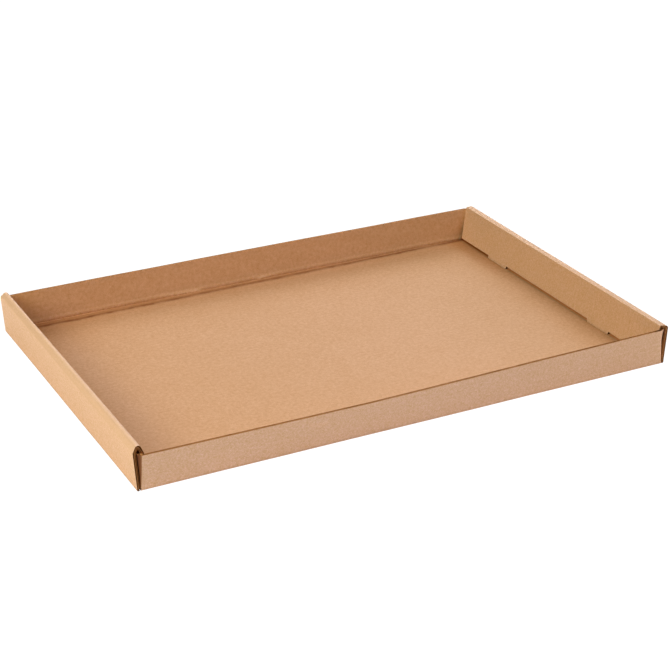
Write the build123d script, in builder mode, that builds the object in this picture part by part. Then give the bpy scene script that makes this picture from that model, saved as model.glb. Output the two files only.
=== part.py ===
from build123d import *

import os
from math import atan, cos

# Corrugated board: its thickness, one of its paper liners, the inside radius of a crease, the
# outside radius of a crease that is pressed sharp, and how far the fluting lies back behind the
# liners along a cut edge
board = 3.0
liner = 0.5
crease_radius = 0.3
sharp_radius = 1.0
channel_depth = 1.6

# Outside of the tray at its bottom folds, and the room between panels that pass each other
length = 600.0
width = 398.0
play = 0.4

# Long side walls: their height, how far each leans out at the left end, the middle and the
# right end of its top edge, where that middle is, how much further in each end of the top edge
# is, and how far the edge has been pulled to the left
side_height = 40.8
front_leans = [7.6, 10.7, 3.2]
back_leans = [3.1, 4.8, 3.1]
lean_middle = -60.0
side_taper = 2.6
side_skew = 2.6

# Corner flaps, bent from the ends of the long walls and trapped in the double ends:
# their length, the bevel of the free end, the drop of their top edge below the wall's and the
# slope that leads down to it, their height over the base, and the knee behind the corner fold
flap_length = 88.0
flap_bevel = 12.0
flap_drop = 2.0
flap_slope = 3.5
flap_lift = 1.2
flap_tuck = 0.2
knee_inset = 1.4
knee_run = 5.0
knee_radius = 5.0

# End walls: how far their edges lie inside the bottom folds of the long walls, and their lean.
# The roll-over strip runs from an outer crease, at the top of the outer panel, to an inner
# corner, at the top of the inner panel. Both heights are given above a strip that lies flat
# on the corner flaps, at the near edge and at the far edge.
end_recess = 0.5
end_lean = 2.7
right_crease_near = 0.8
right_crease_far = 1.6
right_corner_near = 3.7
right_corner_far = 1.9
left_crease_near = -1.2
left_crease_far = 0.6
left_corner_near = 10.7
left_corner_far = 6.7

# Reach of the strip: at the right end the three boards of the double wall and some slack, at
# the left end, where the strip stands up, its width as seen from above. The radius is that of
# the right strip's inner corner, which is pressed sharper than its outer crease.
right_slack_near = 1.6
right_slack_far = 0.8
left_reach_near = 5.5
left_reach_far = 7.4
strip_radius = 1.5

# Inner panels: the room behind them at the base, at the left end and at the near and far edges
# of the right end, their lower edge above the base, the taper of their sides, and the height,
# depth and radius of the bow in the left one
left_foot_gap = 6.5
right_foot_gap_near = 6.0
right_foot_gap_far = 8.0
edge_rise = 2.9
inner_taper = 5.7
bow_height = 27.0
bow_depth = 4.2
bow_radius = 60.0

# Locking tabs: width, corners, how deep they sit in the base, and how far their middles are
# from the near and the far edge of the end wall
tab_width = 40.0
tab_radius = 4.0
tab_depth = 2.2
tab_near = 101.0
tab_far = 87.5

# Sizes that follow from the ones above
half_length = length / 2
half_width = width / 2
half_end = half_width - end_recess
fold = board + crease_radius
flap_top = side_height - flap_drop
seat = flap_top + board
left_foot = half_length - 3 * board - left_foot_gap
right_foot_near = half_length - 3 * board - right_foot_gap_near
right_foot_far = half_length - 3 * board - right_foot_gap_far
deepest_foot = min(left_foot, right_foot_far)
slot_offset = (board - play) / 2
inner_edge = board + edge_rise
tab_places = [-half_end + tab_near, half_end - tab_far]
overrun = 1.0


def bent_board(plane, skin, radii, start=0.0, stop=board):
    """Section across a bent strip, from one depth behind its outer skin to another."""
    with BuildSketch(plane) as section:
        with BuildLine():
            FilletPolyline(*skin, radius=radii)
            offset(amount=stop, side=Side.LEFT)
        make_face()
        if start > 0:
            with BuildLine():
                FilletPolyline(*skin, radius=radii)
                offset(amount=start, side=Side.LEFT)
            make_face(mode=Mode.SUBTRACT)
    return section.sketch


def side_skin(z, leans):
    """Outer face of the front wall and its flaps at one height, from the left flap to the right."""
    rise = (z - fold) / (side_height - fold)
    left, middle, right = [-half_width - lean * rise for lean in leans]
    corner = half_length - board - play - side_taper * rise
    skew = side_skew * rise
    flap = half_length - board - play - flap_tuck + (end_lean - play) * rise
    knee = -half_width + knee_inset + knee_run * (1 - rise)
    tail = -half_width + flap_length
    return [
        (-flap, tail),
        (-flap, knee),
        (-corner - skew, left),
        (lean_middle, middle),
        (corner - skew, right),
        (flap, knee),
        (flap, tail),
    ]


def side_wall(leans):
    """Front wall with its bottom fold and its two corner flaps."""
    across = board / cos(atan(leans[1] / side_height))
    radii = [knee_radius, sharp_radius, 0, sharp_radius, knee_radius]
    side_end = half_length - board - play
    foot_back = -half_width + board
    tail = -half_width + flap_length

    with BuildPart() as wall:
        # Bottom fold, from the edge of the base to the foot of the wall
        fold_skin = [(-half_width, side_height), (-half_width, 0), (-half_width + fold, 0)]
        extrude(bent_board(Plane.YZ, fold_skin, [sharp_radius]), amount=side_end, both=True)
        with BuildSketch():
            Rectangle(2 * side_end, 2 * half_width)
        extrude(amount=fold, mode=Mode.INTERSECT)

        # Wall and flaps in one piece, ruled from the foot to the top edge
        foot = bent_board(Plane.XY.offset(fold), side_skin(fold, leans), radii, stop=across)
        top = bent_board(Plane.XY.offset(side_height), side_skin(side_height, leans), radii, stop=across)
        loft([foot.face(), top.face()], ruled=True)

        # Fluting seen between the liners along the top edge
        channel = []
        for z in (side_height, side_height - channel_depth):
            fluting = bent_board(Plane.XY.offset(z), side_skin(z, leans), radii, liner, across - liner)
            channel.append(fluting.face())
        loft(channel, ruled=True, mode=Mode.SUBTRACT)

        # Flaps cut lower than the wall, clear of the base and bevelled at their free ends
        for side, lean in ((-1, leans[0]), (1, leans[2])):
            behind = foot_back - lean
            with BuildSketch(Plane.YZ):
                with BuildLine():
                    Polyline(
                        (behind, side_height + overrun),
                        (behind, side_height),
                        (behind + flap_slope, flap_top),
                        (tail - flap_bevel, flap_top),
                        (tail, flap_top - flap_bevel),
                        (tail + overrun, side_height + overrun),
                        close=True,
                    )
                make_face()
                with BuildLine():
                    Polyline(
                        (foot_back, fold),
                        (foot_back + flap_lift, board + flap_lift),
                        (tail + overrun, board + flap_lift),
                        (tail + overrun, fold),
                        close=True,
                    )
                make_face()
            extrude(amount=side * length, mode=Mode.SUBTRACT)
    return wall.part


def end_skin(crease, reach, corner, foot, bow=0.0):
    """Outer skin of the right end wall: base, outer panel, strip, inner panel and tab."""
    outer_x = half_length + end_lean
    corner_x = outer_x - reach
    corner_z = seat + corner
    skin = [(half_length - fold, 0), (half_length, 0), (outer_x, seat + crease), (corner_x, corner_z)]
    if bow > 0:
        share = (bow_height - board) / (corner_z - board)
        skin.append((foot + share * (corner_x - foot) - bow, bow_height))
    last_x, last_z = skin[-1]
    slope = (last_x - foot) / (last_z - board)
    skin.append((foot - slope * tab_depth, board - tab_depth))
    return skin


def end_wall(near_skin, far_skin, radii):
    """Right end wall, rolled over the corner flaps, ruled from its near edge to its far edge."""
    near_plane = Plane.XZ.offset(half_end)
    far_plane = Plane.XZ.offset(-half_end)

    with BuildPart() as wall:
        near = bent_board(near_plane, near_skin, radii)
        far = bent_board(far_plane, far_skin, radii)
        loft([near.face(), far.face()], ruled=True)

        # Fluting seen between the liners along the near and the far edge
        near_fluting = bent_board(near_plane, near_skin, radii, start=liner, stop=board - liner)
        extrude(near_fluting, amount=channel_depth, dir=(0, 1, 0), mode=Mode.SUBTRACT)
        far_fluting = bent_board(far_plane, far_skin, radii, start=liner, stop=board - liner)
        extrude(far_fluting, amount=channel_depth, dir=(0, -1, 0), mode=Mode.SUBTRACT)

        # Inner panel tapered towards the base and cut to its lower edge, with the tabs left on
        with BuildSketch(Plane.YZ.offset(half_length - fold)):
            Rectangle(2 * (half_end + overrun), 2 * flap_top)
            with BuildLine():
                Polyline(
                    (-half_end, flap_top),
                    (-half_end + inner_taper, inner_edge),
                    (half_end - inner_taper, inner_edge),
                    (half_end, flap_top),
                    close=True,
                )
            make_face(mode=Mode.SUBTRACT)
            tab_height = inner_edge + tab_depth - board + tab_radius
            with Locations(*[(y, board - tab_depth) for y in tab_places]):
                RectangleRounded(
                    tab_width,
                    tab_height + tab_radius,
                    tab_radius,
                    align=(Align.CENTER, Align.MIN),
                    mode=Mode.SUBTRACT,
                )
        extrude(amount=deepest_foot - half_length - board, mode=Mode.SUBTRACT)

        # Relief cuts that part the end's bottom fold from those of the long walls
        with BuildSketch():
            with Locations(*[(half_length - fold, side * half_end) for side in (-1, 1)]):
                Rectangle(4 * play, 2 * (fold - end_recess))
        extrude(amount=board, mode=Mode.SUBTRACT)
    return wall.part


slot_places = []
for tab_y in tab_places:
    share = (tab_y + half_end) / (2 * half_end)
    right_foot = right_foot_near + share * (right_foot_far - right_foot_near)
    slot_places.append((right_foot + slot_offset, tab_y))
    slot_places.append((-left_foot - slot_offset, tab_y))

with BuildPart() as base:
    Box(length - 2 * fold, width - 2 * fold, board, align=(Align.CENTER, Align.CENTER, Align.MIN))
    with BuildSketch():
        with Locations(*slot_places):
            Rectangle(board + 3 * play, tab_width + 2 * play)
    extrude(amount=board, mode=Mode.SUBTRACT)

right_wall = end_wall(
    end_skin(right_crease_near, 3 * board + right_slack_near, right_corner_near, right_foot_near),
    end_skin(right_crease_far, 3 * board + right_slack_far, right_corner_far, right_foot_far),
    [sharp_radius, fold, strip_radius],
)
left_wall = end_wall(
    end_skin(left_crease_near, left_reach_near, left_corner_near, left_foot, bow_depth),
    end_skin(left_crease_far, left_reach_far, left_corner_far, left_foot, bow_depth),
    [sharp_radius, fold, fold, bow_radius],
)

with BuildPart() as tray:
    add(base)
    add(side_wall(front_leans))
    add(mirror(side_wall(back_leans), about=Plane.XZ, mode=Mode.PRIVATE))
    add(right_wall)
    add(mirror(left_wall, about=Plane.YZ, mode=Mode.PRIVATE))

tray.part.label = "tray"
os.makedirs("parts", exist_ok=True)
export_step(tray.part, "parts/tray.step")
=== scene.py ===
# %% [markdown]
# A shallow tray folded from one sheet of brown corrugated board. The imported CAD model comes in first, as a
# fixed frame in metres, and everything in this lesson is placed by it.

# %% Load the frame
from math import atan2, cos, pi, radians, sin

import bmesh
import bpy
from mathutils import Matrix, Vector, noise
from mathutils.bvhtree import BVHTree
from mathutils.geometry import intersect_point_line


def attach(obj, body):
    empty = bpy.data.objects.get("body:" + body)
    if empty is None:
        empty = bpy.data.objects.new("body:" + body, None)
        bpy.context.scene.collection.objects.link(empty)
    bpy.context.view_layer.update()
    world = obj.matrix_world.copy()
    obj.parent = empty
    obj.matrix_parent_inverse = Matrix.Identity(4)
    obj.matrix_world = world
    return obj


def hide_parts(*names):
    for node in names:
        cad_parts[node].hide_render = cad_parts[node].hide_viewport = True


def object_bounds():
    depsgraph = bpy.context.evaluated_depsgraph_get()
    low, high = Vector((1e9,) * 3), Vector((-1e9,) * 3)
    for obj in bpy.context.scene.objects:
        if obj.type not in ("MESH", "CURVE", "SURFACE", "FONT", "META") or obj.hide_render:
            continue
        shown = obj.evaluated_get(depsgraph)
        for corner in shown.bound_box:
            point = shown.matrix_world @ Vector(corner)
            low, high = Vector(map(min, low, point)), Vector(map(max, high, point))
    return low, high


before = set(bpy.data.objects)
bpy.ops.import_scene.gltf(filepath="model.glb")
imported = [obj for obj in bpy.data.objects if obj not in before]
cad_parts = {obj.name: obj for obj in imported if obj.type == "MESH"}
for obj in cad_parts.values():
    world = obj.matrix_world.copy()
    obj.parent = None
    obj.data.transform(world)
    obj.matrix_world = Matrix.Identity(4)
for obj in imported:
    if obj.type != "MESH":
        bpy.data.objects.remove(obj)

MM = 0.001
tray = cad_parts["tray"]
cad_low, cad_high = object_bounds()
print("tray, mm:", [round(side / MM) for side in cad_high - cad_low])

# %% [markdown]
# A few sizes come back all through the lesson. The board has two flat papers, the liners, and a wavy one
# between them, the fluting, whose waves run along the tray. Many marks are placed by how far they are from
# the bottom folds of the long walls, and those lie 199 mm in front of the tray's middle and behind it.

# %% Sizes of the board and the tray
BOARD = 3.0 * MM
FLUTE_PITCH = 6.35 * MM
HALF_WIDTH = 199 * MM
print("flutes side by side under the base:", round(2 * HALF_WIDTH / FLUTE_PITCH))

# %% [markdown]
# The tray is seen from its front left, 25 degrees from above, through a fairly long lens. A camera is set
# by the point it looks at, the way it faces and how far away it stands. Those were found by lining up the
# tray's corners with the photograph, which is more exact than moving a camera by eye.

# %% Camera
LOOK_AT = Vector((20.1, 23.4, 0.0)) * MM
TURN = radians(27.17)
TILT = radians(25.03)
CAMERA_AWAY = 1964.4 * MM
FOCAL_PIXELS = 1780.9
PHOTO_PIXELS = 670


def add_object(name, data):
    """A new object at the origin, in the scene."""
    thing = bpy.data.objects.new(name, data)
    bpy.context.scene.collection.objects.link(thing)
    return thing


forward = Vector((sin(TURN) * cos(TILT), cos(TURN) * cos(TILT), -sin(TILT)))
camera_data = bpy.data.cameras.new("camera")
camera_data.sensor_width = 36.0
camera_data.lens = camera_data.sensor_width * FOCAL_PIXELS / PHOTO_PIXELS
camera = add_object("camera", camera_data)
camera.rotation_mode = "QUATERNION"
camera.location = LOOK_AT - forward * CAMERA_AWAY
camera.rotation_quaternion = forward.to_track_quat("-Z", "Y")
bpy.context.scene.camera = camera
print("camera, mm:", [round(place / MM, 1) for place in camera.location])

# %% [markdown]
# Materials and Geometry Nodes are built from many small nodes. Three helpers keep that short: one feeds an
# input from another node or gives it a plain value, one does so for several inputs, and one makes a whole
# node in one line.

# %% Small tools for nodes
def link(tree, value, socket):
    """Feeds a socket from another socket or sets it to a plain value."""
    if isinstance(value, bpy.types.NodeSocket):
        tree.links.new(value, socket)
    else:
        socket.default_value = value


def set_inputs(tree, made, inputs):
    """Sets or feeds a node's inputs, which are given by name or number."""
    for key, value in inputs.items():
        link(tree, value, made.inputs[key])


def node(tree, kind, inputs=None, **settings):
    """One node with its settings and its inputs."""
    made = tree.nodes.new(kind)
    for key, value in settings.items():
        setattr(made, key, value)
    set_inputs(tree, made, inputs or {})
    return made

# %% [markdown]
# The tray stands in plain white. A floor that the lamps light would show grey shadows, which the photo
# doesn't have, so the floor is two things at once. What the camera sees of it directly is a flat white
# light. For all other light it is a pale, faintly glowing surface, which lights the outer walls from below.
# A Light Path node tells the two apart.

# %% Floor
FLOOR_REACH = 12.0
FLOOR_DROP = 0.1 * MM
FLOOR_COLOUR = (0.9, 0.9, 0.9, 1)
FLOOR_ROUGHNESS = 0.9
GLOW_COLOUR = (0.83, 0.78, 1.0, 1)
GLOW_STRENGTH = 0.313
SEEN_STRENGTH = 1.08

sweep = bpy.data.materials.new("white_sweep")
sweep.use_nodes = True
tree = sweep.node_tree
pale = tree.nodes["Principled BSDF"]
looks = {
    "Base Color": FLOOR_COLOUR,
    "Roughness": FLOOR_ROUGHNESS,
    "Emission Color": GLOW_COLOUR,
    "Emission Strength": GLOW_STRENGTH,
}
set_inputs(tree, pale, looks)
white = node(tree, "ShaderNodeEmission", {"Strength": SEEN_STRENGTH})
seen_directly = node(tree, "ShaderNodeLightPath").outputs["Is Camera Ray"]
either = node(tree, "ShaderNodeMixShader", {0: seen_directly, 1: pale.outputs[0], 2: white.outputs[0]})
link(tree, either.outputs[0], tree.nodes["Material Output"].inputs["Surface"])

floor_mesh = bpy.data.meshes.new("floor")
floor_corners = [(FLOOR_REACH * x, FLOOR_REACH * y, 0) for x, y in ((-1, -1), (1, -1), (1, 1), (-1, 1))]
floor_mesh.from_pydata(floor_corners, [], [(0, 1, 2, 3)])
floor_mesh.materials.append(sweep)
floor = add_object("floor", floor_mesh)
floor.location.z = -FLOOR_DROP
print("floor:", round(2 * FLOOR_REACH), "m square")

# %% [markdown]
# The world behind the floor is white in the same way: to the camera only. So it lights nothing, and the
# walls keep the soft differences in tone that the lights give them. The Standard view shows colours as they
# are.

# %% Background
world = bpy.data.worlds.new("studio")
world.use_nodes = True
tree = world.node_tree
seen_directly = node(tree, "ShaderNodeLightPath").outputs["Is Camera Ray"]
set_inputs(tree, tree.nodes["Background"], {"Color": (1, 1, 1, 1), "Strength": seen_directly})
bpy.context.scene.world = world
bpy.context.scene.view_settings.view_transform = "Standard"
print("view transform:", bpy.context.scene.view_settings.view_transform)

# %% [markdown]
# Large square lights stand round the tray, because a single one would leave the walls that face the camera
# too dark. To find their powers, each was rendered alone, and the mix that came nearest to the photo's
# tones was taken. Warm light comes from the left, and cooler light from the right front, the right back and
# the back. The two lights at the right and above are weak and only fill.

# %% Lights
LIGHT_AWAY = 2.6
WARM = (1.0, 0.98, 0.86)
WHITE = (1.0, 1.0, 1.0)
COOL = (0.91, 0.93, 1.0)
BLUISH = (0.79, 0.80, 1.0)


def soft_light(name, around, up, size, power, colour):
    """A square light that faces the tray, placed by two angles: 0 around is in front, 90 at the right."""
    data = bpy.data.lights.new(name, "AREA")
    data.size = size
    data.energy = power
    data.color = colour
    around = radians(around)
    up = radians(up)
    direction = Vector((sin(around) * cos(up), -cos(around) * cos(up), sin(up)))
    light = add_object(name, data)
    light.location = direction * LIGHT_AWAY
    light.rotation_mode = "QUATERNION"
    light.rotation_quaternion = (-direction).to_track_quat("-Z", "Y")


LIGHTS = [
    ("light_left", 285, 40, 1.4, 26.8, WARM),
    ("light_left_low", 285, 28, 1.0, 20.7, WARM),
    ("light_right_front", 45, 50, 1.4, 34.5, BLUISH),
    ("light_right", 90, 20, 1.4, 3, WHITE),
    ("light_above", 0, 75, 1.4, 1.5, WHITE),
    ("light_right_back", 135, 20, 1.4, 26, COOL),
    ("light_back", 150, 35, 1.4, 28, COOL),
]
for row in LIGHTS:
    soft_light(*row)
print(len(LIGHTS), "lights,", round(sum(power for _, _, _, _, power, _ in LIGHTS)), "watts")

# %% [markdown]
# With a helper for each common step, a material reads like arithmetic: first the tree that the node goes
# into, then its values. Each value is a number or the output of another node, and every helper gives back
# the output of the node that it made.

# %% Arithmetic with nodes
def maths(tree, operation, *values):
    """One arithmetic step."""
    return node(tree, "ShaderNodeMath", dict(enumerate(values)), operation=operation).outputs[0]


def vectors(tree, operation, *values):
    """One step of vector arithmetic."""
    return node(tree, "ShaderNodeVectorMath", dict(enumerate(values)), operation=operation).outputs[0]


def plus(tree, first, *others):
    """The sum of several values."""
    for other in others:
        first = maths(tree, "ADD", first, other)
    return first


def minus(tree, first, second):
    """One value less another."""
    return maths(tree, "SUBTRACT", first, second)


def times(tree, first, *others):
    """The product of several values."""
    for other in others:
        first = maths(tree, "MULTIPLY", first, other)
    return first


def straight(tree, value, slope, start):
    """A straight line: the value times a slope, plus a start."""
    return maths(tree, "MULTIPLY_ADD", value, slope, start)


def size_of(tree, value):
    """A value without its sign."""
    return maths(tree, "ABSOLUTE", value)

# %% [markdown]
# All marks on the paper are made in the same three ways. A ramp turns a distance into a soft mask, a blend
# lays one colour over another by a mask, and noise makes things uneven.

# %% Masks, colours and noise
def ramp(tree, value, low, high):
    """0 at one value and before it, 1 at another and past it, smooth between them."""
    inputs = {"Value": value, "From Min": low, "From Max": high}
    return node(tree, "ShaderNodeMapRange", inputs, interpolation_type="SMOOTHSTEP").outputs["Result"]


def blend(tree, factor, first, second):
    """One colour laid over another by a mask. Inputs 6 and 7 and output 2 are the Mix node's colours."""
    return node(tree, "ShaderNodeMix", {0: factor, 6: first, 7: second}, data_type="RGBA").outputs[2]


def speckle(tree, place, scale, detail=2.0, roughness=0.5):
    """Noise about 0, between -0.5 and 0.5."""
    inputs = {"Vector": place, "Scale": scale, "Detail": detail, "Roughness": roughness}
    return minus(tree, node(tree, "ShaderNodeTexNoise", inputs).outputs["Fac"], 0.5)

# %% [markdown]
# Where a mark lies depends on where a point is in the tray's own frame, or on which way the surface faces
# there. Neither needs a flattened map of the sheet, and both fit the CAD model to the millimetre.

# %% Places and directions
def object_place(tree):
    """Where a point lies in the tray's own frame."""
    return node(tree, "ShaderNodeTexCoord").outputs["Object"]


def axes(tree, vector):
    """A vector's x, y and z."""
    return node(tree, "ShaderNodeSeparateXYZ", {0: vector}).outputs


def facing_axes(tree):
    """Which way the surface faces, as x, y and z."""
    return axes(tree, node(tree, "ShaderNodeNewGeometry").outputs["Normal"])

# %% [markdown]
# A node group is a small machine with named inputs and outputs. What several materials need is made once as
# a group, and its inputs say what is different about each.

# %% Node groups
def new_group(name, inputs, outputs, kind="ShaderNodeTree"):
    """An empty node group with its inputs and outputs."""
    tree = bpy.data.node_groups.new(name, kind)
    for label, socket_type, value in inputs:
        socket = tree.interface.new_socket(label, in_out="INPUT", socket_type=socket_type)
        if value is not None:
            socket.default_value = value
    for label, socket_type in outputs:
        tree.interface.new_socket(label, in_out="OUTPUT", socket_type=socket_type)
    return tree, tree.nodes.new("NodeGroupInput").outputs, tree.nodes.new("NodeGroupOutput").inputs

# %% [markdown]
# The paper of such board is raw kraft, and its marks are the same on every face, so they are made once, as
# a group of shader nodes. The first is the washboard that the flutes press into the liner, one ridge every
# 6.35 mm. The flutes run along the tray, so the ridges are counted across it: along y, and up the long
# walls. They drift a little and fade in patches, because real ones are never all pressed alike.

# %% Kraft paper group: the washboard
paper_group, paper_in, paper_out = new_group(
    "kraft_paper",
    [
        ("Colour", "NodeSocketColor", (0.6, 0.36, 0.2, 1)),
        ("Cloud", "NodeSocketFloat", 0.10),
        ("Fleck", "NodeSocketFloat", 0.25),
        ("Ridge Shade", "NodeSocketFloat", 0.05),
        ("Blotch Scale", "NodeSocketFloat", 260.0),
    ],
    [("Colour", "NodeSocketColor"), ("Roughness", "NodeSocketFloat"), ("Height", "NodeSocketFloat")],
)
tree = paper_group
place = object_place(tree)
_, y, z = axes(tree, place)
on_long_wall = ramp(tree, size_of(tree, facing_axes(tree)[1]), 0.6, 0.8)
across = plus(tree, times(tree, on_long_wall, z), times(tree, minus(tree, 1.0, on_long_wall), y))
drift = times(tree, speckle(tree, place, 14.0), 0.5)
turns = plus(tree, maths(tree, "DIVIDE", across, FLUTE_PITCH), drift)
patchy = ramp(tree, speckle(tree, place, 9.0), -0.1, 0.15)
ridge = times(tree, maths(tree, "COSINE", times(tree, turns, 2 * pi)), patchy)
print("washboard:", len(tree.nodes), "nodes")

# %% [markdown]
# Close up, kraft paper is a felt of brown fibres with darker and lighter flecks, and from further away it
# is cloudy. Those are layers of noise, each finer than the last. The fibres are noise squeezed to a third
# of its size in y and z, so they lie along the flutes. A darker place is also a browner one, so blue
# changes most and red least.

# %% Kraft paper group: cloud, flecks and colour
TINT = (0.9, 1.4, 3.0)
RIDGE_HEIGHT = 0.004 * MM
BLOTCH_HEIGHT = 0.008 * MM

cloud = plus(tree, speckle(tree, place, 12.0, 3.0, 0.6), speckle(tree, place, 40.0, 3.0, 0.6))
blotch = speckle(tree, place, paper_in["Blotch Scale"], 3.0, 0.6)
squeezed = node(tree, "ShaderNodeMapping", {"Vector": place, "Scale": (1.0, 3.0, 3.0)}).outputs[0]
fibre = speckle(tree, squeezed, 900.0, 2.0, 0.7)
fine = speckle(tree, place, 1900.0, 1.0)
grain = plus(tree, blotch, fibre, fine)

# The washboard's ridges also go into the colour, as faint painted shade of their bump.
tone = plus(
    tree,
    times(tree, cloud, paper_in["Cloud"]),
    times(tree, grain, paper_in["Fleck"]),
    times(tree, ridge, paper_in["Ridge Shade"]),
)
tint = vectors(tree, "ADD", vectors(tree, "MULTIPLY", tone, TINT), (1.0, 1.0, 1.0))
link(tree, vectors(tree, "MULTIPLY", paper_in["Colour"], tint), paper_out["Colour"])
link(tree, plus(tree, times(tree, grain, 0.15), 0.75), paper_out["Roughness"])
height = plus(tree, times(tree, ridge, RIDGE_HEIGHT), times(tree, blotch, BLOTCH_HEIGHT))
link(tree, height, paper_out["Height"])
print("kraft_paper group:", len(tree.nodes), "nodes")

# %% [markdown]
# A crease is pressed into the board before it is folded. Along it the colour gets a dark, slightly wavering
# line, partly crushed paper and partly painted shade in the groove, and beside it a thin painted highlight
# where the paper bulges. That is a second group, which only needs to be told how far each place is from the
# line. Both marks come and go along it.

# %% Crease group
RIM_BESIDE = 1.7
RIM_SHARPNESS = 2.0


def bell(tree, value):
    """1 where the value is 0, falling off smoothly on both sides."""
    return maths(tree, "EXPONENT", times(tree, value, value, -1.0))


crease_group, crease_in, crease_out = new_group(
    "crease_mark",
    [("Distance", "NodeSocketFloat", 0.0), ("Width", "NodeSocketFloat", 1.5 * MM)],
    [("Crease Shade", "NodeSocketFloat"), ("Rim Highlight", "NodeSocketFloat")],
)
tree = crease_group
place = object_place(tree)
waver = times(tree, speckle(tree, place, 35.0, 4.0, 0.6), 1.2)
from_line = plus(tree, maths(tree, "DIVIDE", crease_in["Distance"], crease_in["Width"]), waver)
crease_shade = plus(tree, times(tree, speckle(tree, place, 80.0, 3.0), 1.6), 0.75)
link(tree, times(tree, bell(tree, from_line), crease_shade), crease_out["Crease Shade"])
beside = times(tree, minus(tree, from_line, RIM_BESIDE), RIM_SHARPNESS)
rim_highlight = ramp(tree, speckle(tree, place, 25.0, 3.0), -0.05, 0.2)
link(tree, times(tree, bell(tree, beside), rim_highlight), crease_out["Rim Highlight"])
print("crease_mark group:", len(tree.nodes), "nodes")

# %% [markdown]
# The sheet has two sides, and both liners are kraft paper. On top of the plain paper, each gets marks. Most
# of them are painted light and shade, at creases, folds, corners and slits, and a few are plain changes of
# tone. Such a mark is a mask that says where it lies, and a factor for red, green and blue that says what it
# does to the colour there: below 1 it darkens, above 1 it lightens. The marks go on one after the other,
# like washes of paint.

# %% Tools for the liners
class Liner:
    """A kraft paper material whose colour takes one mark after another."""

    def __init__(self, name, colour, cloud, fleck, ridge_shade, blotch_scale):
        self.material = bpy.data.materials.new(name)
        self.material.use_nodes = True
        self.tree = self.material.node_tree
        self.shader = self.tree.nodes["Principled BSDF"]
        inputs = {
            "Colour": (*colour, 1),
            "Cloud": cloud,
            "Fleck": fleck,
            "Ridge Shade": ridge_shade,
            "Blotch Scale": blotch_scale,
        }
        skin = node(self.tree, "ShaderNodeGroup", inputs, node_tree=paper_group).outputs
        bump = node(self.tree, "ShaderNodeBump", {"Height": skin["Height"], "Distance": 1.0}).outputs
        looks = {"Roughness": skin["Roughness"], "Normal": bump["Normal"], "Specular IOR Level": 0.4}
        set_inputs(self.tree, self.shader, looks)
        self.show(skin["Colour"])

    def show(self, colour):
        """Makes a colour the one that is seen and that the next mark goes on."""
        self.colour = colour
        link(self.tree, colour, self.shader.inputs["Base Color"])

    def paint_light_and_tone(self, factor, *masks):
        """Multiplies the colour by a factor where every mask is 1: painted light and shade, or a change of
        tone.
        """
        mask = times(self.tree, *masks)
        mask = maths(self.tree, "MINIMUM", maths(self.tree, "MAXIMUM", mask, 0.0), 1.0)
        retinted = vectors(self.tree, "MULTIPLY", self.colour, factor)
        self.show(blend(self.tree, mask, self.colour, retinted))

    def crease(self, distance, width, crease_shade, rim_highlight):
        """Draws a crease: what its line of painted shade and the painted highlight beside it multiply the
        colour by.
        """
        inputs = {"Distance": distance, "Width": width}
        mark = node(self.tree, "ShaderNodeGroup", inputs, node_tree=crease_group).outputs
        self.paint_light_and_tone(crease_shade, mark["Crease Shade"])
        self.paint_light_and_tone(rim_highlight, mark["Rim Highlight"])

# %% [markdown]
# The inside liner shows on the base and on the inner faces of the long walls. It is the browner of the two.
# In the photo a dark crease runs along each long wall, about 11 mm in from the corner at the left end and 2
# mm at the right end. Between the crease and the wall the base gets painted shade, and the foot of the wall
# gets painted light, so it is paler than the rest of it. All of that is placed by the distance from the
# inner corner: above 0 on the base, below 0 up the wall.

# %% Inside liner: the folds of the long walls
inside_liner = Liner("inside_liner", (0.623, 0.334, 0.150), 0.06, 0.39, 0.012, 280.0)
tree = inside_liner.tree
x, y, z = axes(tree, object_place(tree))
from_corner = minus(tree, minus(tree, HALF_WIDTH, size_of(tree, y)), z)
crease_at = straight(tree, x, -0.0138, 6.6 * MM)
on_base = ramp(tree, from_corner, -0.2 * MM, 0.6 * MM)
shade_behind_crease = ramp(tree, minus(tree, crease_at, from_corner), -0.5 * MM, 1.5 * MM)
# Painted shade on the base between the crease and the wall.
inside_liner.paint_light_and_tone((0.75, 0.65, 0.52), shade_behind_crease, on_base)
# Painted light on the foot of the wall.
above_foot = ramp(tree, from_corner, -8 * MM, -3 * MM)
below_base = ramp(tree, from_corner, 1.5 * MM, -0.5 * MM)
inside_liner.paint_light_and_tone((1.24, 1.38, 1.50), above_foot, below_base)
# The crease line is painted shade, with a faint painted highlight beside it.
from_crease = minus(tree, from_corner, crease_at)
inside_liner.crease(from_crease, 2.9 * MM, (0.45, 0.31, 0.18), (1.02, 1.03, 1.05))
print("inside_liner with its creases:", len(tree.nodes), "nodes")

# %% [markdown]
# Through the slit below each inner end panel, and at the near corners, a little of the hidden paper in the
# double ends shows. Little light gets there, but in the photo those slits are brown, not black: lighter
# along most of the width and darker past the far tab. So the low part of the hidden paper gets painted light
# along most of the width and painted shade past the far tab, and at the near corners it gets painted shade.

# %% Inside liner: the slits of the double ends
LIGHT_TOWARDS_FAR_TAB = (1.40, 1.05, 0.78, 1)
SHADE_PAST_FAR_TAB = (0.85, 0.52, 0.23, 1)

panel_plane = straight(tree, z, 0.2, straight(tree, y, -0.0045, 284.0 * MM))
in_double_end = ramp(tree, minus(tree, size_of(tree, x), panel_plane), 0.0, 0.6 * MM)
at_near_corner = ramp(tree, y, -180 * MM, -190 * MM)
elsewhere = minus(tree, 1.0, at_near_corner)
low_down = ramp(tree, z, 8 * MM, 4 * MM)
past_tab = ramp(tree, y, 90 * MM, 132 * MM)
light_and_shade_under_panel = blend(tree, past_tab, LIGHT_TOWARDS_FAR_TAB, SHADE_PAST_FAR_TAB)
# Painted light towards the far tab and painted shade past it, low in the slits.
inside_liner.paint_light_and_tone(light_and_shade_under_panel, in_double_end, low_down, elsewhere)
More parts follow.
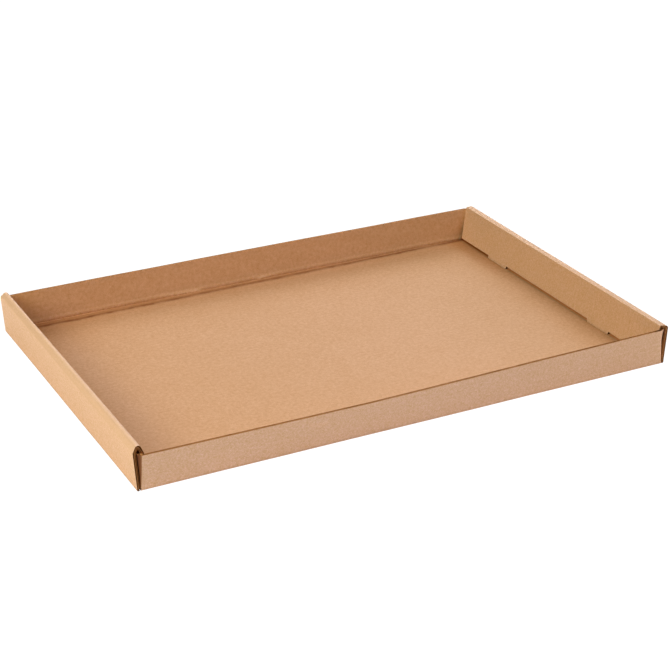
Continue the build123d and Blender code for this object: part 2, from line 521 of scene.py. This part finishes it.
# Painted shade on the hidden paper at the near corners.
inside_liner.paint_light_and_tone((0.75, 0.60, 0.42), in_double_end, at_near_corner)
print("inside_liner with its slits:", len(tree.nodes), "nodes")

# %% [markdown]
# The last marks of the inside liner are broad and faint painted shade. In the photo it grows a little darker
# and browner towards both ends, and most of all in the two far corners of the base.

# %% Inside liner: painted shade towards the ends
# Painted shade towards both ends, and more in the two far corners of the base.
beside_left_end = ramp(tree, x, -245 * MM, -285 * MM)
inside_liner.paint_light_and_tone((0.94, 0.93, 0.79), beside_left_end)
towards_right = ramp(tree, x, 60 * MM, 270 * MM)
inside_liner.paint_light_and_tone((0.94, 0.95, 0.90), towards_right)
back_left = times(tree, ramp(tree, x, -150 * MM, -280 * MM), ramp(tree, y, 60 * MM, 170 * MM))
inside_liner.paint_light_and_tone((0.96, 0.90, 0.80), back_left, on_base)
far_right = times(tree, ramp(tree, x, 255 * MM, 275 * MM), ramp(tree, y, 40 * MM, 130 * MM))
inside_liner.paint_light_and_tone((0.90, 0.80, 0.66), far_right, on_base)
print("inside_liner:", len(tree.nodes), "nodes")

# %% [markdown]
# The outside liner is the paler one. It also shows on the rolled-over strips and on the inner end panels,
# because they are turned over. The strips' tops look smoother than the rest, so more than half of their
# fleck is taken away. The two strips get painted light and shade: the left one is painted a little lighter,
# with a painted highlight along its raised edge, and the right one is painted darker and browner, but for a
# painted highlight on its inner rounding. Along the bottom folds runs a faint line of painted shade. Which
# way a face looks tells the strips from the panels. For the ends that is measured as outwards: 1 for a face
# that looks away from the tray's middle, -1 for one that looks to it.

# %% Outside liner: the bottom folds and the rolled-over strips
OUTSIDE_COLOUR = (0.712, 0.441, 0.245)
SMOOTHED = 0.6

outside_liner = Liner("outside_liner", OUTSIDE_COLOUR, 0.05, 0.48, 0.012, 520.0)
tree = outside_liner.tree
x, y, z = axes(tree, object_place(tree))
facing_x, _, facing_z = facing_axes(tree)
# Painted shade along the bottom folds, a faint dark line.
outside_liner.crease(minus(tree, z, 0.8 * MM), 1.3 * MM, (0.84, 0.74, 0.64), (1.0, 1.0, 1.0))

outwards = times(tree, facing_x, maths(tree, "SIGN", x))
faces_up = ramp(tree, facing_z, -0.02, 0.15)
on_strip = times(tree, faces_up, ramp(tree, outwards, -0.5, -0.1))
on_left = ramp(tree, times(tree, x, -1.0), 293 * MM, 294 * MM)
on_right = minus(tree, 1.0, on_left)
smoothed = times(tree, on_strip, SMOOTHED)
outside_liner.show(blend(tree, smoothed, outside_liner.colour, (*OUTSIDE_COLOUR, 1)))
# Painted light on the left strip's top and painted shade on the right strip's.
outside_liner.paint_light_and_tone((1.05, 1.06, 1.09), on_strip, on_left)
outside_liner.paint_light_and_tone((0.96, 0.91, 0.83), on_strip, on_right)

# A painted highlight on the right strip's inner rounding.
past_strip = ramp(tree, outwards, -0.15, -0.45)
before_panel = ramp(tree, outwards, -0.96, -0.75)
outside_liner.paint_light_and_tone((1.15, 1.20, 1.32), past_strip, before_panel, on_right)
# A painted highlight along the left strip's raised edge.
ridge_top = straight(tree, y, -0.0024, 47.1 * MM)
ridge_top_highlight = ramp(tree, minus(tree, ridge_top, z), 0.9 * MM, 0.3 * MM)
outside_liner.paint_light_and_tone((1.10, 1.12, 1.16), on_left, ridge_top_highlight)
print("outside_liner with its strips:", len(tree.nodes), "nodes")

# %% [markdown]
# The front wall grows a little browner towards the right, and its right corner fold gets a painted
# highlight, a pale line. At the corners, the gap between the wall and the end lets a narrow part of the flap
# be seen, and in the photo that is very dark, so the flap there gets deep painted shade, a little less deep
# further back. The inner end panels are slightly darker than the outer walls.

# %% Outside liner: the front wall, the corners and the inner panels
on_front = ramp(tree, times(tree, y, -1.0), HALF_WIDTH - 0.6 * MM, HALF_WIDTH)
# A painted highlight on the front wall's right corner fold.
corner_at = straight(tree, z, -0.13, 296.3 * MM)
corner_highlight = bell(tree, maths(tree, "DIVIDE", minus(tree, x, corner_at), 0.9 * MM))
outside_liner.paint_light_and_tone((1.25, 1.25, 1.30), corner_highlight, on_front)
towards_right = ramp(tree, x, -50 * MM, 290 * MM)
outside_liner.paint_light_and_tone((0.96, 0.94, 0.88), on_front, towards_right)

at_front_left = times(tree, ramp(tree, x, 0.0, -1 * MM), ramp(tree, y, 0.0, -1 * MM))
lean = straight(tree, at_front_left, 0.11, 0.076)
wall_plane = straight(tree, z, lean, HALF_WIDTH)
behind_wall = minus(tree, wall_plane, size_of(tree, y))
from_middle = size_of(tree, x)
past_corner = ramp(tree, from_middle, 295.6 * MM, 296.4 * MM)
before_end = ramp(tree, from_middle, 299.3 * MM, 299.1 * MM)
below_top = ramp(tree, z, 42.5 * MM, 41.5 * MM)
on_flap = times(tree, past_corner, before_end, below_top)
# Painted shade on the flap inside the corner gaps, deepest at the front.
outside_liner.paint_light_and_tone((0.27, 0.155, 0.055), on_flap, ramp(tree, behind_wall, -0.3 * MM, 0.9 * MM))
outside_liner.paint_light_and_tone((0.60, 0.45, 0.30), on_flap, ramp(tree, behind_wall, 0.6 * MM, 7.0 * MM))
outside_liner.paint_light_and_tone((0.92, 0.90, 0.87), ramp(tree, outwards, -0.5, -0.9))
print("outside_liner:", len(tree.nodes), "nodes")

# %% [markdown]
# Cut edges show the inside of the board: the edges of the two liners, and between them the fluting, a wavy
# paper whose waves are 6.35 mm long, with hollows beside it that are painted as dark shade. How deep a place
# lies between the liners is stored on the mesh, from 0 at the outside to 1 at the inside, so the wave can be
# drawn across every edge that cuts through the flutes. In the photo, edges that face up look paler than
# those that face sideways, so the paper gets a lit colour and a painted shade colour, chosen by which way
# the edge faces.

# %% Cut edge material
# The hollow and the sideways edges are painted as shade, and the upward edges as lit paper.
WAVE_SWING = 0.30
EDGE_SIDEWAYS_SHADED = (0.28, 0.11, 0.025, 1)
EDGE_FACING_UP_LIT = (0.46, 0.20, 0.06, 1)
HOLLOW_SHADE = (0.12, 0.05, 0.015, 1)
FUZZ_HEIGHT = 0.08 * MM

cut_edge = bpy.data.materials.new("cut_edge")
cut_edge.use_nodes = True
tree = cut_edge.node_tree
place = object_place(tree)
depth = node(tree, "ShaderNodeAttribute", attribute_name="depth").outputs["Fac"]
turns = plus(tree, maths(tree, "DIVIDE", axes(tree, place)[1], FLUTE_PITCH), speckle(tree, place, 20.0))
wave_at = straight(tree, maths(tree, "COSINE", times(tree, turns, 2 * pi)), WAVE_SWING, 0.5)
from_wave = size_of(tree, minus(tree, depth, wave_at))
on_wave = minus(tree, 1.0, ramp(tree, from_wave, 0.05, 0.11))
from_middle = size_of(tree, minus(tree, depth, 0.5))
ragged = times(tree, speckle(tree, place, 600.0), 0.03)
on_liner = ramp(tree, plus(tree, from_middle, ragged), 0.29, 0.32)
faces_up = ramp(tree, facing_axes(tree)[2], 0.3, 0.7)
lit_and_shaded_edge = blend(tree, faces_up, EDGE_SIDEWAYS_SHADED, EDGE_FACING_UP_LIT)
edge_colour = blend(tree, maths(tree, "MAXIMUM", on_wave, on_liner), HOLLOW_SHADE, lit_and_shaded_edge)
fuzz = plus(tree, speckle(tree, place, 700.0, 3.0, 0.7), speckle(tree, place, 2200.0))
bump = node(tree, "ShaderNodeBump", {"Height": times(tree, fuzz, FUZZ_HEIGHT), "Distance": 1.0})
looks = {
    "Base Color": vectors(tree, "MULTIPLY", edge_colour, straight(tree, fuzz, 0.5, 1.0)),
    "Roughness": 0.9,
    "Specular IOR Level": 0.05,
    "Normal": bump.outputs["Normal"],
}
set_inputs(tree, tree.nodes["Principled BSDF"], looks)
print("cut_edge:", len(tree.nodes), "nodes")

# %% [markdown]
# The fluting in the open channels is a cloudier paper than the liners, and its colour is darker and browner
# as painted shade in the narrow channels. It is the same kraft group with other values, without a washboard
# and almost without a shine.

# %% Fluting paper
# The fluting's darker, browner colour is painted shade in the narrow channels.
fluting_paper = Liner("fluting_paper", (0.48, 0.22, 0.075), 0.10, 0.30, 0.0, 260.0)
fluting_paper.shader.inputs["Specular IOR Level"].default_value = 0.05
print("fluting_paper:", len(fluting_paper.tree.nodes), "nodes")

# %% [markdown]
# The tray itself keeps the form of the CAD model. A copy of its mesh is cleaned of doubled points and cut
# into small faces, so that it can be given the slight unevenness of folded board. Cutting the whole mesh by
# planes keeps the cuts on both sides of a panel opposite each other.

# %% Copy the sheet
DOUBLED = 0.004 * MM
FLAT = radians(0.3)
CUTS_IN_MM = [(0, -294, 296, 9.8), (1, -192, 196, 9.6), (2, 8.3, 40, 7.9)]


def cut_into_strips(mesh, axis, first, last, step):
    """Cuts the whole mesh by equally spaced planes across one axis."""
    normal = [0.0, 0.0, 0.0]
    normal[axis] = 1.0
    place = first
    while place < last:
        point = [0.0, 0.0, 0.0]
        point[axis] = place
        everything = mesh.verts[:] + mesh.edges[:] + mesh.faces[:]
        bmesh.ops.bisect_plane(mesh, geom=everything, dist=1e-7, plane_co=point, plane_no=normal)
        place += step


sheet = bmesh.new()
sheet.from_mesh(tray.data)
bmesh.ops.remove_doubles(sheet, verts=sheet.verts, dist=DOUBLED)
bmesh.ops.dissolve_limit(sheet, angle_limit=FLAT, verts=sheet.verts, edges=sheet.edges)
for axis, first, last, step in CUTS_IN_MM:
    cut_into_strips(sheet, axis, first * MM, last * MM, step * MM)
open_edges = [edge for edge in sheet.edges if len(edge.link_faces) != 2]
print("sheet:", len(sheet.faces), "faces,", len(open_edges), "open edges")

# %% [markdown]
# A face belongs to a liner if the board is one thickness deep behind it, which a ray shot inwards finds
# out. From one face under the base, the outside liner is then followed over the whole sheet, and from one
# on top of the base the inside liner: round creases, where faces run smoothly into each other, and into
# inner corners, but never over a sharp outer edge, because that is where the board was cut. What neither
# reaches is cut edge.

# %% Sort the faces into liners and cut edges
SMOOTH_BEND = radians(30)
LARGE_FACE = 80 * MM * MM
OUTSIDE, INSIDE, CUT = 0, 1, 2

sheet_tree = BVHTree.FromBMesh(sheet)
board_deep = set()
for face in sheet.faces:
    just_below = face.calc_center_median() - face.normal * 1e-6
    _, _, _, thickness = sheet_tree.ray_cast(just_below, -face.normal)
    if thickness is not None and 0.93 * BOARD < thickness < 1.07 * BOARD:
        board_deep.add(face)


def follow_liner(first):
    """All faces of the liner that one face belongs to."""
    liner = {first}
    front = [first]
    while front:
        face = front.pop()
        for edge in face.edges:
            bend = edge.calc_face_angle_signed(pi)
            for other in edge.link_faces:
                smooth = abs(bend) < SMOOTH_BEND
                inner_corner = bend < 0 and face in board_deep and other in board_deep
                if other not in liner and (smooth or inner_corner):
                    liner.add(other)
                    front.append(other)
    return liner


flat_faces = [face for face in sheet.faces if face in board_deep and abs(face.normal.z) > 0.999]
flat_faces = [face for face in flat_faces if face.calc_area() > LARGE_FACE]
outside = follow_liner(min(flat_faces, key=lambda face: face.calc_center_median().z + face.normal.z))
inside = follow_liner(min(flat_faces, key=lambda face: face.calc_center_median().z - face.normal.z))
for face in sheet.faces:
    face.material_index = OUTSIDE if face in outside else INSIDE if face in inside else CUT
for index, name in enumerate(("outside", "inside", "cut edges")):
    area = sum(face.calc_area() for face in sheet.faces if face.material_index == index)
    print(f"{name}: {area * 1e4:.0f} square cm")

# %% [markdown]
# On a cut edge, how deep a point lies between the two liners decides what it shows: paper, fluting or the
# hollow between them. The distances to the two liners give that depth, and the mesh keeps it as an
# attribute, which the material above reads.

# %% Store the depth in the board
def search_tree(faces):
    """Finds the nearest place on some of the sheet's faces."""
    polygons = [[corner.index for corner in face.verts] for face in sheet.faces if face in faces]
    return BVHTree.FromPolygons([corner.co for corner in sheet.verts], polygons)


sheet.verts.index_update()
outer_skin = search_tree(outside)
inner_skin = search_tree(inside)
depth_layer = sheet.verts.layers.float.new("depth")
for corner in sheet.verts:
    to_outer = outer_skin.find_nearest(corner.co)[3]
    to_inner = inner_skin.find_nearest(corner.co)[3]
    corner[depth_layer] = to_outer / max(to_outer + to_inner, 1e-9)
cut_faces = [face for face in sheet.faces if face.material_index == CUT]
edge_depths = [corner[depth_layer] for face in cut_faces for corner in face.verts]
print("depths on the cut edges:", round(min(edge_depths), 2), "to", round(max(edge_depths), 2))

# %% [markdown]
# Along the tops of the long walls and the sides of the ends, the cut runs along the flutes, so it opens a
# channel with one strip of fluting in it. The channels are in the CAD model. Their floors are the flat cut
# faces that reach neither liner, and those that hang together and face the same way are one channel.

# %% Find the floors of the channels
def is_floor(face):
    """Whether a face lies flat between the liners and spreads over some of the board's depth."""
    depths = [corner[depth_layer] for corner in face.verts]
    between_liners = min(depths) > 0.1 and max(depths) < 0.9 and max(depths) - min(depths) > 0.05
    return between_liners and max(face.normal.z, abs(face.normal.y)) > 0.99


def channel_floors():
    """The floors of the channels, as lists of faces that hang together and face the same way."""
    flat = [face for face in sheet.faces if is_floor(face)]
    floors = []
    left = set(flat)
    for first in flat:
        if first not in left:
            continue
        left.remove(first)
        island = [first]
        for face in island:
            for edge in face.edges:
                for other in edge.link_faces:
                    if other in left and other.normal.dot(first.normal) > 0.9:
                        left.remove(other)
                        island.append(other)
        floors.append(island)
    return floors


SMALLEST_FLOOR = 60 * MM * MM
floors = []
for island in channel_floors():
    if sum(face.calc_area() for face in island) > SMALLEST_FLOOR:
        floors.append(island)
print(len(floors), "channels")

# %% [markdown]
# The line that each strip of fluting follows runs halfway between the two long sides of a channel's floor.
# First the points of a side are put in order: by their x on the long walls, and by their angle round the
# middle of the double wall on the ends.

# %% Put the points of a channel's side in order
LONG_CHANNEL = 100 * MM
DOUBLE_WALL_X = 293 * MM
DOUBLE_WALL_Z = 20 * MM
FIRST_ANGLE = radians(-100)


def sort_along(places):
    """Puts points of one side of a channel in order along it."""
    centre_x = sum(place.x for place in places) / len(places)
    side = 1 if centre_x > 0 else -1

    def swing(place):
        """The angle at which a place is seen from the middle of the double wall."""
        beside = side * place.x - DOUBLE_WALL_X
        return (atan2(place.z - DOUBLE_WALL_Z, beside) - FIRST_ANGLE) % (2 * pi)

    is_long = max(abs(place.x - centre_x) for place in places) > LONG_CHANNEL
    return sorted(places, key=lambda place: place.x if is_long else swing(place))

# %% [markdown]
# For each point of the outer side, the nearest place on the inner side is found, and the line goes halfway
# between the two. The nearest place may lie between two points, so every stretch of the side is tried too.

# %% Find the middle line of each channel
CLOSEST_POINTS = 0.3 * MM


def nearest_on_line(place, line):
    """The point of a line of points that is nearest to a place."""
    found = [min(line, key=lambda other: (other - place).length)]
    for first, second in zip(line, line[1:]):
        crossing, share = intersect_point_line(place, first, second)
        if 0 <= share <= 1:
            found.append(crossing)
    return min(found, key=lambda other: (other - place).length)


def middle_line(island):
    """Points halfway across a channel's floor, in order along it."""
    corners = sorted({corner for face in island for corner in face.verts}, key=lambda corner: corner.index)
    outer_side = sort_along([corner.co for corner in corners if corner[depth_layer] < 0.5])
    inner_side = sort_along([corner.co for corner in corners if corner[depth_layer] > 0.5])
    line = []
    for place in outer_side:
        middle = (place + nearest_on_line(place, inner_side)) / 2
        if not line or (middle - line[-1]).length > CLOSEST_POINTS:
            line.append(middle)
    return line


channels = []
for island in floors:
    line = middle_line(island)
    facing = island[0].normal.copy()
    channels.append((line, facing))
    length = sum((second - first).length for first, second in zip(line, line[1:]))
    print("channel:", round(length / MM), "mm long, faces", [round(share) for share in facing])

# %% [markdown]
# Folded board is never quite true. A smooth noise moves every point by a few tenths of a millimetre, both
# liners of a panel together, and nothing may leave the box of the CAD model. The noise starts from a fixed
# seed, so each run gives the same tray.

# %% Uneven the sheet
BROAD_SCALE = 9.0
BROAD_REACH_IN_MM = 0.3
NARROW_SCALE = 31.0
NARROW_REACH_IN_MM = 0.07
noise.seed_set(5)


def out_of_true(place):
    """Where a point of the true tray lies on the folded one."""
    broad = noise.noise_vector(place * BROAD_SCALE) * BROAD_REACH_IN_MM * MM
    narrow = noise.noise_vector(place * NARROW_SCALE) * NARROW_REACH_IN_MM * MM
    moved = place + (broad + narrow)
    return Vector([min(max(moved[axis], cad_low[axis]), cad_high[axis]) for axis in range(3)])


furthest = 0.0
for corner in sheet.verts:
    moved = out_of_true(corner.co)
    furthest = max(furthest, (moved - corner.co).length)
    corner.co = moved
channels = [([out_of_true(place) for place in line], facing) for line, facing in channels]
print("moved by up to", round(furthest / MM, 2), "mm")

# %% [markdown]
# The sheet becomes an object with the three materials, in the order in which its faces were sorted. Its
# panels and creases are shaded smooth, and edges sharper than 38 degrees stay sharp, as cut board does.

# %% Make the sheet's object
SHARP_BOARD = radians(38)

sheet_mesh = bpy.data.meshes.new("tray_sheet")
sheet.to_mesh(sheet_mesh)
sheet.free()
for material in (outside_liner.material, inside_liner.material, cut_edge):
    sheet_mesh.materials.append(material)
sheet_mesh.shade_smooth()
sheet_mesh.set_sharp_from_angle(angle=SHARP_BOARD)
tray_sheet = add_object("tray_sheet", sheet_mesh)
print("tray_sheet:", len(sheet_mesh.polygons), "faces")

# %% [markdown]
# The strip of fluting in a channel is a thin wave of paper, and what shows of it changes along the edge,
# because the knife never runs exactly along one flute. It follows a path and a rule, so Geometry Nodes make
# it. First a thin rectangle is swept along the channel's middle line, and every point keeps where on the
# line it is, which way the line runs there, how far along it is, and where on the rectangle it is.

# %% Fluting tree: sweep a rectangle along the channel
POINT_STEP = 2 * MM

fluting, fluting_in, fluting_out = new_group(
    "fluting_strip",
    [
        ("Path", "NodeSocketGeometry", None),
        ("Into", "NodeSocketVector", (0, 0, -1)),
        ("Depth", "NodeSocketFloat", 1.4 * MM),
        ("Top", "NodeSocketFloat", 0.2 * MM),
        ("Wave Height", "NodeSocketFloat", 0.8 * MM),
        ("Wave Length", "NodeSocketFloat", FLUTE_PITCH),
        ("Phase", "NodeSocketFloat", 0.0),
        ("Drift", "NodeSocketFloat", 1.0),
        ("Thickness", "NodeSocketFloat", 0.25 * MM),
        ("Seed", "NodeSocketFloat", 1.0),
        ("Paper", "NodeSocketMaterial", None),
    ],
    [("Mesh", "NodeSocketGeometry")],
    "GeometryNodeTree",
)


def capture(tree, geometry, values):
    """Stores values on a geometry's points, and gives the geometry and the stored values."""
    made = node(tree, "GeometryNodeCaptureAttribute", domain="POINT")
    for name, kind, value in values:
        made.capture_items.new(kind, name)
        link(tree, value, made.inputs[name])
    link(tree, geometry, made.inputs[0])
    return [made.outputs[0]] + [made.outputs[name] for name, _, _ in values]


tree = fluting
stepped = node(tree, "GeometryNodeResampleCurve", {"Curve": fluting_in["Path"]}, mode="LENGTH")
stepped.inputs["Length"].default_value = POINT_STEP
path, at, heading, run = capture(
    tree,
    stepped.outputs[0],
    [
        ("At", "VECTOR", node(tree, "GeometryNodeInputPosition").outputs[0]),
        ("Heading", "VECTOR", node(tree, "GeometryNodeInputTangent").outputs[0]),
        ("Run", "FLOAT", node(tree, "GeometryNodeSplineParameter").outputs["Length"]),
    ],
)
section = node(tree, "GeometryNodeCurvePrimitiveQuadrilateral", {"Width": 1.0, "Height": 1.0})
section = node(tree, "GeometryNodeSubdivideCurve", {"Curve": section.outputs[0], "Cuts": 3})
section_at = node(tree, "GeometryNodeInputPosition").outputs[0]
section, on_section = capture(tree, section.outputs[0], [("Section", "VECTOR", section_at)])
swept = node(tree, "GeometryNodeCurveToMesh", {"Curve": path, "Profile Curve": section, "Fill Caps": True})
print("sweep:", len(tree.nodes), "nodes")

# %% [markdown]
# Each point is then set by the wave's formula. Its depth in the channel goes from the paper's frayed top
# edge to the floor. Its sway to one side is a cosine of that depth, and the wave's phase drifts along the
# channel and wanders a little. The tree ends in real geometry with its paper on.

# %% Fluting tree: set the wave
FRAY = 1.2 * MM
HIGHEST_FRAY = -0.15 * MM
WANDER = 3.0


def slow_noise(scale, detail):
    """Noise about 0 along the channel, another for each seed."""
    inputs = {"Vector": at, "W": fluting_in["Seed"], "Scale": scale, "Detail": detail}
    made = node(fluting, "ShaderNodeTexNoise", inputs, noise_dimensions="4D")
    return minus(fluting, made.outputs[0], 0.5)


def scaled(tree, vector, factor):
    """A vector times a number."""
    return node(tree, "ShaderNodeVectorMath", {0: vector, "Scale": factor}, operation="SCALE").outputs[0]


section_x, section_y, _ = axes(tree, on_section)
down = plus(tree, section_x, 0.5)
fray = maths(tree, "MAXIMUM", times(tree, slow_noise(160.0, 3.0), FRAY), HIGHEST_FRAY)
top = plus(tree, fluting_in["Top"], fray)
sunk = straight(tree, minus(tree, 1.0, down), top, times(tree, down, fluting_in["Depth"]))
turn_by = plus(
    tree,
    times(tree, maths(tree, "DIVIDE", sunk, fluting_in["Wave Length"]), 2 * pi),
    fluting_in["Phase"],
    times(tree, run, fluting_in["Drift"]),
    times(tree, slow_noise(9.0, 2.0), WANDER),
)
sway = plus(
    tree,
    times(tree, maths(tree, "COSINE", turn_by), fluting_in["Wave Height"]),
    times(tree, section_y, fluting_in["Thickness"]),
)
across = vectors(tree, "CROSS_PRODUCT", heading, fluting_in["Into"])
above_floor = minus(tree, sunk, fluting_in["Depth"])
position = vectors(tree, "ADD", at, scaled(tree, fluting_in["Into"], above_floor))
position = vectors(tree, "ADD", position, scaled(tree, across, sway))
placed = node(tree, "GeometryNodeSetPosition", {"Geometry": swept.outputs[0], "Position": position})
realized = node(tree, "GeometryNodeRealizeInstances", {0: placed.outputs[0]})
papered = node(tree, "GeometryNodeSetMaterial", {0: realized.outputs[0], "Material": fluting_in["Paper"]})
link(tree, papered.outputs[0], fluting_out[0])
print("fluting_strip tree:", len(tree.nodes), "nodes")

# %% [markdown]
# The tree is run once for each channel, on a curve through its middle line, and the result is kept as a
# plain mesh. The near wall's strip shows its waves. The far wall's top edge is a thin, even line in the
# photo, so its strip is a thick, nearly flat band. At the ends the paper is thicker than real paper, so
# that it shows at the size of the photo.

# %% Lay a strip of fluting in each channel
SHARP_PAPER = radians(50)
END_FLUTING = {"Thickness": 0.6 * MM, "Wave Height": 0.55 * MM, "Phase": 1.2}
NEAR_FLUTING = {"Phase": 0.4}
FAR_FLUTING = {"Top": -0.15 * MM, "Thickness": 1.6 * MM, "Wave Height": 0.15 * MM, "Phase": 0.4}


def input_key(tree, label):
    """The identifier of a tree's input."""
    for item in tree.interface.items_tree:
        if item.item_type == "SOCKET" and item.in_out == "INPUT" and item.name == label:
            return item.identifier


def lay_fluting(name, line, settings):
    """One strip of fluting as a plain mesh object."""
    curve = bpy.data.curves.new(name + "_path", "CURVE")
    curve.dimensions = "3D"
    spline = curve.splines.new("POLY")
    spline.points.add(len(line) - 1)
    for point, place in zip(spline.points, line):
        point.co = (*place, 1.0)
    path = add_object(name + "_path", curve)
    modifier = path.modifiers.new("fluting", "NODES")
    modifier.node_group = fluting
    for label, value in settings.items():
        modifier[input_key(fluting, label)] = value
    bpy.context.view_layer.update()
    evaluated = path.evaluated_get(bpy.context.evaluated_depsgraph_get())
    mesh = bpy.data.meshes.new_from_object(evaluated)
    bpy.data.objects.remove(path)
    shell = bmesh.new()
    shell.from_mesh(mesh)
    bmesh.ops.recalc_face_normals(shell, faces=shell.faces)
    shell.to_mesh(mesh)
    shell.free()
    mesh.shade_smooth()
    mesh.set_sharp_from_angle(angle=SHARP_PAPER)
    print(name, len(mesh.polygons), "faces")
    return add_object(name, mesh)


strips = []
channels.sort(key=lambda channel: (channel[0][0].x, channel[0][0].y))
for index, (line, facing) in enumerate(channels):
    settings = {"Into": -facing, "Seed": float(index), "Paper": fluting_paper.material}
    if facing.z < 0.5:
        settings.update(END_FLUTING)
    elif line[0].y < 0:
        settings.update(NEAR_FLUTING)
    else:
        settings.update(FAR_FLUTING)
    strips.append(lay_fluting(f"fluting_{index + 1}", line, settings))

# %% [markdown]
# Every piece rides on the tray's one fixed body, because nothing moves, and all are the same board. The
# sheet takes the place of the CAD model's solid, and the strips of fluting are added to it.

# %% Tell the frame what the pieces are
for piece in [tray_sheet] + strips:
    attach(piece, "root")
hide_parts("tray")
print(1 + len(strips), "pieces")
